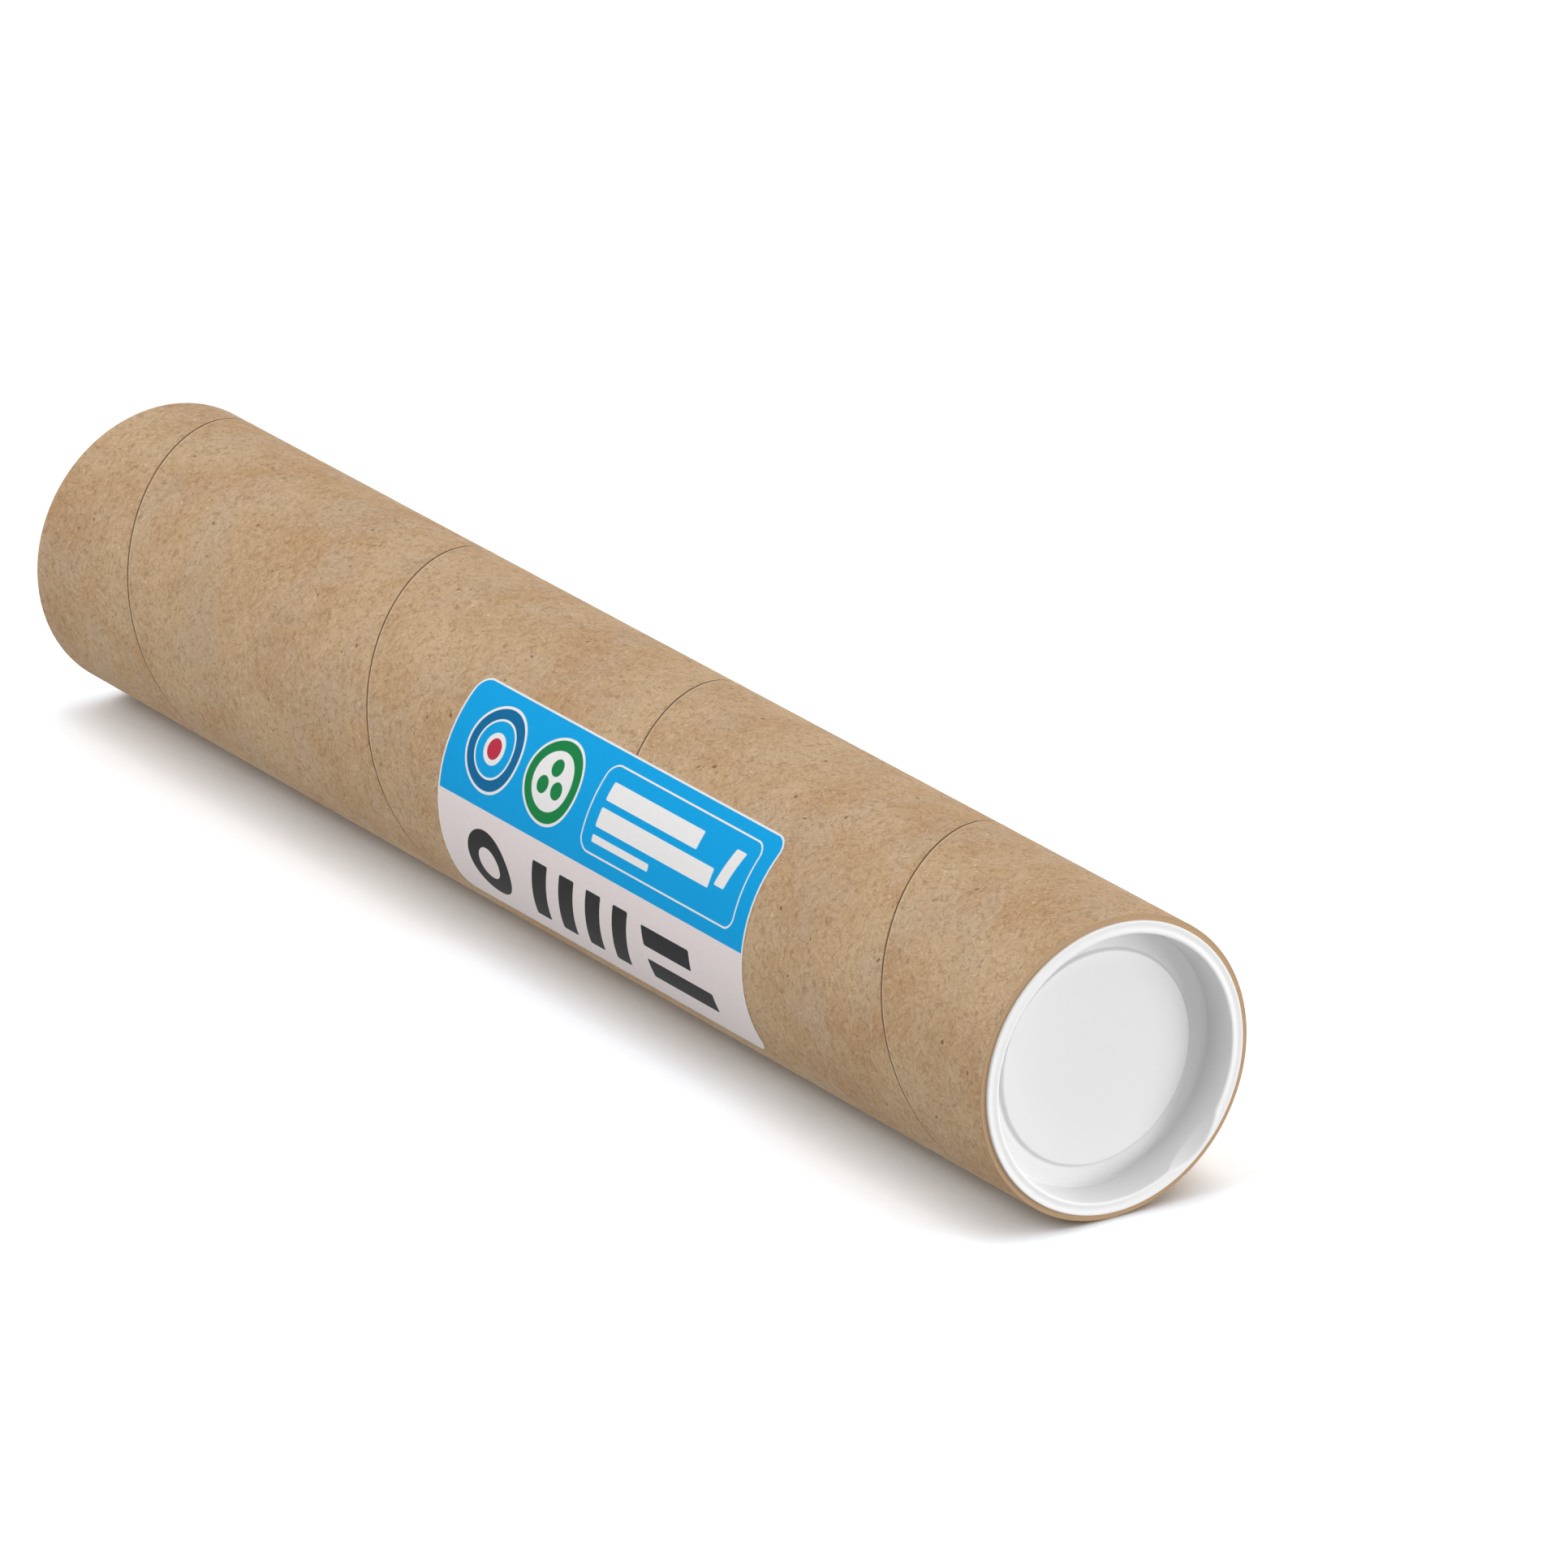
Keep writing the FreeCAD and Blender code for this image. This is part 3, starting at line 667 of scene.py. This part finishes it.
plug = {
    "lipRadius": 38.45, "lipThickness": 0.75, "lipRound": 0.3,
    "bandRadius": 38.05, "bandEnd": 6.75, "plugEnd": 12.0, "endRadius": 35.85,
    "skirtWall": 1.3,
    "rimRadius": 35.1, "rimRound": 0.45, "rimDip": 0.22,
    "recessDepth": 9.4, "channelRadius": 34.1, "channelRound": 0.5,
    "discRadius": 28.3, "discDepth": 8.6, "discSlope": 1.1,
    "moatDepth": 9.55, "moatWidth": 1.5,   # a shallow moat round the disc's foot
    "underside": 10.9,
    "notchScoop": 15.0, "notchReach": 2.3, "notchDepth": 3.2,
    "columns": 400,
}


def plugColumn(angle):
    # one section of the plug at an angle from its notch: radius and depth, from the middle
    # of the raised disc, over the rim and round the outside to the middle of the underside
    brow = plug["discRadius"] - plug["discSlope"] / 2
    points = [(i * brow / 8, plug["discDepth"]) for i in range(9)]
    for i in range(1, 13):  # the disc falls away to its moat in a soft S
        share = i / 12
        fall = share * share * (3 - 2 * share) * (plug["moatDepth"] - plug["discDepth"])
        points.append((brow + share * plug["discSlope"], plug["discDepth"] + fall))
    foot = brow + plug["discSlope"]
    for i in range(1, 7):
        share = i / 6
        climb = share * share * (3 - 2 * share) * (plug["moatDepth"] - plug["recessDepth"])
        points.append((foot + share * plug["moatWidth"], plug["moatDepth"] - climb))
    points.append((32.0, plug["recessDepth"]))
    points += arcPoints(plug["channelRadius"] - plug["channelRound"],
                        plug["recessDepth"] - plug["channelRound"], plug["channelRound"],
                        -90, -6, 9)
    depth = plug["recessDepth"] - plug["channelRound"] - 0.3
    wall = []
    while depth > 0:
        wall.append(depth)
        depth -= 0.14 if depth < plug["notchDepth"] + 0.5 else 0.6
    wall.append(0.0)
    for depth in wall:
        radius = wallRadius(angle, depth)
        if depth < plug["rimRound"]:
            left = 1 - depth / plug["rimRound"]
            radius += plug["rimRound"] * (1 - math.sqrt(max(0.0, 1 - left * left)))
        points.append((radius, depth))
    inner, outer = points[-1][0], plug["lipRadius"] - plug["lipRound"]
    for i in range(1, 7):
        share = i / 6
        dip = plug["rimDip"] * math.sin(math.pi * share) ** 2
        points.append((inner + (outer - inner) * share, dip * min(1.0, (outer - inner) / 3)))
    points += arcPoints(outer, plug["lipRound"], plug["lipRound"], 75, 0, 5)
    points += [
        (plug["lipRadius"], plug["lipThickness"]),
        (plug["bandRadius"], plug["lipThickness"]),
        (plug["bandRadius"], plug["bandEnd"] - 0.4),
        (plug["bandRadius"] - 0.06, plug["bandEnd"]),
        (plug["bandRadius"] - 0.25, plug["bandEnd"] + 0.4),
        (plug["endRadius"] + 0.25, plug["plugEnd"] - 0.5),
        (plug["endRadius"] - 0.1, plug["plugEnd"] - 0.1),
        (plug["endRadius"] - 0.35, plug["plugEnd"]),
        (plug["endRadius"] - plug["skirtWall"] + 0.3, plug["plugEnd"]),
        (plug["endRadius"] - plug["skirtWall"], plug["plugEnd"] - 0.3),
        (plug["endRadius"] - plug["skirtWall"], plug["underside"] + 0.3),
        (plug["endRadius"] - plug["skirtWall"] - 0.3, plug["underside"]),
        (20.0, plug["underside"]),
        (0.0, plug["underside"]),
    ]
    return points


def arcPoints(radius, depth, size, start, end, steps):
    turns = [math.radians(start + (end - start) * i / (steps - 1)) for i in range(steps)]
    return [(radius + size * math.cos(a), depth - size * math.sin(a)) for a in turns]


def wallRadius(angle, depth):
    # the drafted wall, or the notch's slanting scoop where that reaches further out
    draft = (plug["rimRadius"] - plug["channelRadius"]) * depth / plug["recessDepth"]
    plain = plug["rimRadius"] - draft
    foot = plug["rimRadius"] - ((plug["rimRadius"] - plug["channelRadius"])
                                * plug["notchDepth"] / plug["recessDepth"])
    slope = (plug["rimRadius"] + plug["notchReach"] - foot) / plug["notchDepth"]
    crown = plug["rimRadius"] + plug["notchReach"] - slope * depth
    centre = crown - plug["notchScoop"]
    off = centre * math.sin(angle)
    if math.cos(angle) <= 0 or abs(off) >= plug["notchScoop"]:
        return plain
    scoop = centre * math.cos(angle) + math.sqrt(plug["notchScoop"] ** 2 - off * off)
    blend = 0.12  # the scoop meets the wall in a soft edge
    gap = max(-1.0, min(1.0, (scoop - plain) / blend))
    return plain + (blend * (gap + 1) ** 2 / 4 if gap < 1 else scoop - plain)


def makePlug(name, body, node, up, height, notchAngle):
    columns = plug["columns"]
    sketch = bmesh.new()
    rings = []
    sections = [plugColumn((2 * math.pi * i / columns + math.pi) % (2 * math.pi) - math.pi)
                for i in range(columns)]
    last = len(sections[0]) - 1
    for row in range(last + 1):
        ring = []
        for column in range(columns):
            radius, depth = sections[column][row]
            if row in (0, last) and column:
                ring.append(ring[0])
                continue
            angle = 2 * math.pi * column / columns * up + notchAngle
            ring.append(sketch.verts.new((
                radius * mm * math.cos(angle), radius * mm * math.sin(angle),
                height * mm - up * depth * mm)))
        rings.append(ring)
    for row in range(last):
        for column in range(columns):
            after = (column + 1) % columns
            corners = [rings[row][column], rings[row + 1][column],
                       rings[row + 1][after], rings[row][after]]
            kept = [c for i, c in enumerate(corners) if c not in corners[:i]]
            sketch.faces.new(kept)
    bmesh.ops.recalc_face_normals(sketch, faces=sketch.faces)
    for edge in sketch.edges:
        edge.smooth = edge.calc_face_angle(0) < math.radians(40)
    for face in sketch.faces:
        face.smooth = True
    mesh = bpy.data.meshes.new(name)
    sketch.to_mesh(mesh)
    sketch.free()
    mesh.materials.append(polythene)
    piece = newObject(name, mesh)
    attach(piece, body)
    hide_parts(node)
    return piece


topPlug = makePlug("topPlug", "top_cap", "top_end_cap", 1, 453.5, math.radians(49.5))
makePlug("bottomPlug", "bottom_cap", "bottom_end_cap", -1, 0.0, math.radians(130))
print("end plugs:", len(topPlug.data.polygons), "faces each")


def makeSticker():
    corner, width, length = sticker["corner"], sticker["width"], sticker["length"]
    rows = [corner * (1 - math.cos(math.pi / 2 * i / sticker["cornerRows"]))
            for i in range(sticker["cornerRows"] + 1)]
    middleRows = sticker["rows"] - 2 * sticker["cornerRows"]
    rows += [corner + (length - 2 * corner) * i / middleRows for i in range(1, middleRows)]
    rows += [length - r for r in rows[sticker["cornerRows"]::-1]]
    sketch = bmesh.new()
    skins = []
    for out in (0.0, sticker["thickness"]):
        radius = sticker["radius"] + out
        skin = []
        for along in rows:
            inCorner = max(0.0, corner - min(along, length - along))
            half = width / 2 - corner + math.sqrt(max(0.0, corner ** 2 - inCorner ** 2))
            line = []
            for i in range(sticker["columns"] + 1):
                around = half * (2 * i / sticker["columns"] - 1)
                angle = around / sticker["radius"] - math.pi / 2
                line.append((sketch.verts.new((
                    radius * mm * math.cos(angle), radius * mm * math.sin(angle),
                    (sticker["foot"] + along) * mm)), along, width / 2 - around))
            skin.append(line)
        skins.append(skin)
    page = sketch.loops.layers.uv.new("stickerMap")
    places = {spot: (x, y) for skin in skins for line in skin for spot, x, y in line}
    lastRow, lastColumn = len(rows) - 1, sticker["columns"]
    under, over = skins
    for row in range(lastRow):
        for column in range(lastColumn):
            for skin, order in ((under, -1), (over, 1)):
                loop = [skin[row][column], skin[row][column + 1],
                        skin[row + 1][column + 1], skin[row + 1][column]]
                sketch.faces.new([spot[0] for spot in loop][::order])
    rim = [(0, c) for c in range(lastColumn + 1)]
    rim += [(r, lastColumn) for r in range(1, lastRow + 1)]
    rim += [(lastRow, c) for c in range(lastColumn - 1, -1, -1)]
    rim += [(r, 0) for r in range(lastRow - 1, 0, -1)]
    for (r, c), (nextR, nextC) in zip(rim, rim[1:] + rim[:1]):
        sketch.faces.new([under[r][c][0], under[nextR][nextC][0],
                          over[nextR][nextC][0], over[r][c][0]])
    for face in sketch.faces:
        face.smooth = True
        for loop in face.loops:
            x, y = places[loop.vert]
            loop[page].uv = (x * mm, y * mm)
    for edge in sketch.edges:
        edge.smooth = edge.calc_face_angle(0) < math.radians(40)
    bmesh.ops.recalc_face_normals(sketch, faces=sketch.faces)
    mesh = bpy.data.meshes.new("paperSticker")
    sketch.to_mesh(mesh)
    sketch.free()
    mesh.materials.append(labelPrint)
    piece = newObject("paperSticker", mesh)
    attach(piece, "tube")
    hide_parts("paper_label")
    return piece


makeSticker()
print("sticker made")


studio = {
    "bounce": "F2F2F0",      # the floor's own colour, which lights the tube from below
    "seenMatt": 0.2, "seenGlow": 0.9,    # what the camera sees of the floor: shaded and white
    "floorHeight": -0.11,    # room for the lower cap when it is pulled out
    "backdrop": (1.56, 1.63, 1.73),    # past white, and cool beside the board's warm bounce
    "contactReach": 16.0, "contactPower": 0.45,    # deepens its shadow close to the tube
    "backdropLift": 0.02,    # clear of the floor by more than that reach
    "backdropAngle": 6.3,    # the side of the tube that the backdrop touches, in degrees
    "world": 0.25,
    "lamps": [
        # name, place, size, strength, all aimed at the tube's middle
        ("windowLight", (-2.4, 0.3, 1.1), 2.0, 13.6),
        ("skyLight", (0.3, 0.2, 3.0), 1.4, 14.6),
        ("rightLight", (-0.2, 1.9, 2.1), 1.6, 38.0),
        ("sideFill", (-1.3, -2.1, 0.25), 1.2, 22.4),
    ],
}


def seenBy(tree, path):
    # 1 for the rays that see the studio's white: the camera's own and those in gloss or glass
    shiny = addNode(tree, "ShaderNodeMath", {"operation": "MAXIMUM"}, {
        0: path.outputs["Is Glossy Ray"], 1: path.outputs["Is Transmission Ray"]})
    seen = addNode(tree, "ShaderNodeMath", {"operation": "MAXIMUM"}, {
        0: path.outputs["Is Camera Ray"], 1: shiny.outputs[0]})
    return seen.outputs[0]


def makeFloor():
    # lights the tube as a pale floor, looks white to the camera, and hides nothing from below
    material, tree = newMaterial("paleFloor")
    path = addNode(tree, "ShaderNodeLightPath")
    lighting = addNode(tree, "ShaderNodeBsdfDiffuse", None, {
        "Color": colour(studio["bounce"])})
    shaded = addNode(tree, "ShaderNodeBsdfDiffuse", None, {
        "Color": (studio["seenMatt"], studio["seenMatt"], studio["seenMatt"], 1)})
    white = addNode(tree, "ShaderNodeEmission", None, {"Strength": studio["seenGlow"]})
    both = addNode(tree, "ShaderNodeAddShader", None, {
        0: shaded.outputs[0], 1: white.outputs[0]})
    mixed = addNode(tree, "ShaderNodeMixShader", None, {
        0: seenBy(tree, path), 1: lighting.outputs[0], 2: both.outputs[0]})
    side = addNode(tree, "ShaderNodeNewGeometry")
    below = addNode(tree, "ShaderNodeMath", {"operation": "MULTIPLY"}, {
        0: path.outputs["Is Camera Ray"], 1: side.outputs["Backfacing"]})
    clear = addNode(tree, "ShaderNodeBsdfTransparent")
    oneSided = addNode(tree, "ShaderNodeMixShader", None, {
        0: below.outputs[0], 1: mixed.outputs[0], 2: clear.outputs[0]})
    addNode(tree, "ShaderNodeOutputMaterial", None, {"Surface": oneSided.outputs[0]})
    reach = 12.0
    mesh = bpy.data.meshes.new("floor")
    low = studio["floorHeight"]
    mesh.from_pydata([(-reach, -reach, low), (reach, -reach, low), (reach, reach, low),
                      (-reach, reach, low)], [], [(0, 1, 2, 3)])
    mesh.materials.append(material)
    newObject("floor", mesh)


def makeBackdrop():
    # The surface that the tube touches in the photograph. Only the camera meets it, and only
    # from its front, so it catches the tube's shadow, gives no light and hides nothing from
    # the other side.
    material, tree = newMaterial("paleBackdrop")
    path = addNode(tree, "ShaderNodeLightPath")
    side = addNode(tree, "ShaderNodeNewGeometry")
    front = addNode(tree, "ShaderNodeMath", {"operation": "SUBTRACT"}, {
        0: path.outputs["Is Camera Ray"], 1: side.outputs["Backfacing"]})
    seen = addNode(tree, "ShaderNodeMath", {"operation": "MAXIMUM"}, {
        0: front.outputs[0], 1: 0.0})
    clear = addNode(tree, "ShaderNodeBsdfTransparent")
    # painted shade: ambient occlusion darkens the backdrop's colour close to the tube,
    # deepening the shadow it catches
    near = addNode(tree, "ShaderNodeAmbientOcclusion", {"samples": 12}, {
        "Distance": studio["contactReach"] * mm})
    depth = addNode(tree, "ShaderNodeMath", {"operation": "POWER"}, {
        0: near.outputs["AO"], 1: studio["contactPower"]})
    tone = addNode(tree, "ShaderNodeVectorMath", {"operation": "SCALE"}, {
        0: studio["backdrop"], "Scale": depth.outputs[0]})
    shaded = addNode(tree, "ShaderNodeBsdfDiffuse", None, {"Color": tone.outputs[0]})
    mixed = addNode(tree, "ShaderNodeMixShader", None, {
        0: seen.outputs[0], 1: clear.outputs[0], 2: shaded.outputs[0]})
    addNode(tree, "ShaderNodeOutputMaterial", None, {"Surface": mixed.outputs[0]})
    turn = Matrix.Rotation(math.radians(studio["backdropAngle"]), 4, "Z")
    away = (woundTube["outerRadius"] + 0.1) * mm
    low = studio["floorHeight"] + studio["backdropLift"]
    corners = [(away, -2.0, low), (away, -2.0, 2.5), (away, 2.0, 2.5), (away, 2.0, low)]
    mesh = bpy.data.meshes.new("backdrop")
    mesh.from_pydata([turn @ Vector(c) for c in corners], [], [(0, 1, 2, 3)])
    mesh.materials.append(material)
    newObject("backdrop", mesh)


def makeWorld():
    world = bpy.data.worlds.new("studio")
    bpy.context.scene.world = world
    world.use_nodes = True
    tree = world.node_tree
    tree.nodes.clear()
    path = addNode(tree, "ShaderNodeLightPath")
    strength = addNode(tree, "ShaderNodeMapRange", None, {
        "Value": seenBy(tree, path), "To Min": studio["world"], "To Max": 1.0})
    sky = addNode(tree, "ShaderNodeBackground", None, {
        "Color": (1, 1, 1, 1), "Strength": strength.outputs[0]})
    addNode(tree, "ShaderNodeOutputWorld", None, {"Surface": sky.outputs[0]})


def makeLamps():
    aim = Vector((0, 0, 0.23))
    for name, place, size, strength in studio["lamps"]:
        lamp = bpy.data.lights.new(name, "AREA")
        lamp.shape = "DISK"
        lamp.size = size
        lamp.energy = strength
        holder = newObject(name, lamp)
        holder.location = place
        holder.rotation_euler = (aim - Vector(place)).to_track_quat("-Z", "Y").to_euler()


# where the photograph's camera stood: a long lens, rolled so that the tube lies across it
cameraSetup = {
    "place": (-1.16835, -2.10380, 3.26675),
    "turn": (-20.9981, -33.5353, 96.2894),
    "lens": 343.46,
}


def makeCamera():
    camera = bpy.data.cameras.new("camera")
    camera.sensor_width = 36
    camera.lens = cameraSetup["lens"]
    camera.clip_end = 60
    holder = newObject("camera", camera)
    holder.location = cameraSetup["place"]
    holder.rotation_euler = [math.radians(a) for a in cameraSetup["turn"]]
    bpy.context.scene.camera = holder


makeFloor()
makeBackdrop()
makeWorld()
makeLamps()
makeCamera()
bpy.context.scene.view_settings.view_transform = "Standard"
print("floor, light and camera set")
